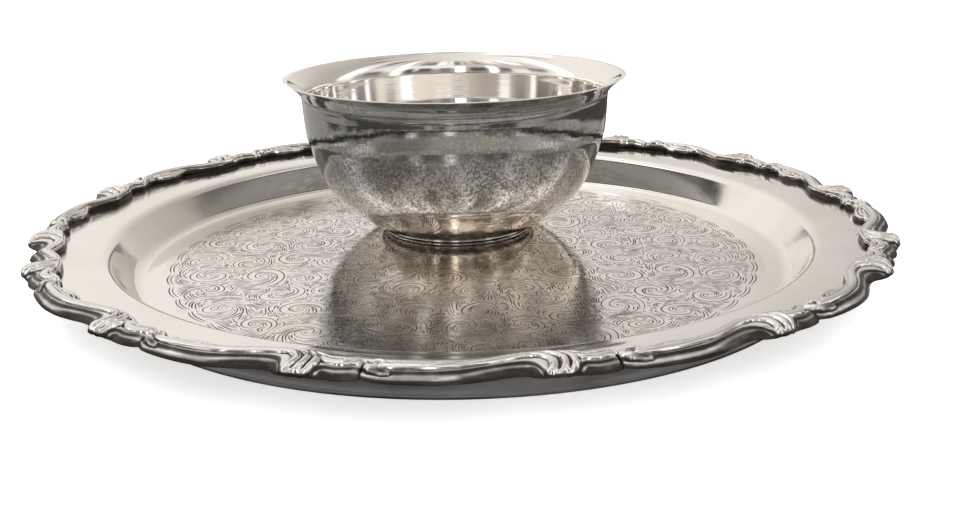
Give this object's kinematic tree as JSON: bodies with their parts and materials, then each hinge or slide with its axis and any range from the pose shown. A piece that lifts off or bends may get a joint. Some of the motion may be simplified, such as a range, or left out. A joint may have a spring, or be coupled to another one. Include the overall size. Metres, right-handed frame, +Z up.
{
  "type": "round serving tray with bowl",
  "caption": "Round silver-plated tray with a shallow chased well, a cast scroll-and-gadroon border, and a loose flared bowl on a low foot.",
  "frame": {"origin": "on the tray's turning axis, at the height of the surface it stands on", "axes": "+Z up, along the tray's turning axis; +Y from the tray's middle to the loose bowl; +X to the right seen from the front"},
  "size_m": [0.3549, 0.355, 0.0734],
  "materials": {
    "tray_plate": "polished silver plate, worn and lightly tarnished, with a chased floor",
    "base_plate": "silver plate gone dull dark grey",
    "border_plate": "cast and silver plated, dark in the hollows and bright on the crests",
    "bowl_plate": "polished silver plate, mottled grey-brown tarnish outside"
  },
  "bodies": {
    "tray": {"tray_pan": "tray_plate", "base_ring": "base_plate", "border_front_1": "border_plate", "border_front_2": "border_plate", "border_front_3": "border_plate", "border_front_4": "border_plate", "border_front_5": "border_plate", "border_back_1": "border_plate", "border_back_2": "border_plate", "border_back_3": "border_plate", "border_back_4": "border_plate", "border_back_5": "border_plate", "border_back_6": "border_plate", "border_back_7": "border_plate", "border_back_8": "border_plate", "border_close_front": "border_plate", "border_close_back": "border_plate"},
    "bowl": {"bowl_shell": "bowl_plate", "bowl_foot": "bowl_plate"}
  },
  "joints": [
    {"name": "bowl_lift", "type": "slide", "parent": "tray", "child": "bowl", "axis": [0, 0, 1], "range_m": [0, 0.08]}
  ]
}
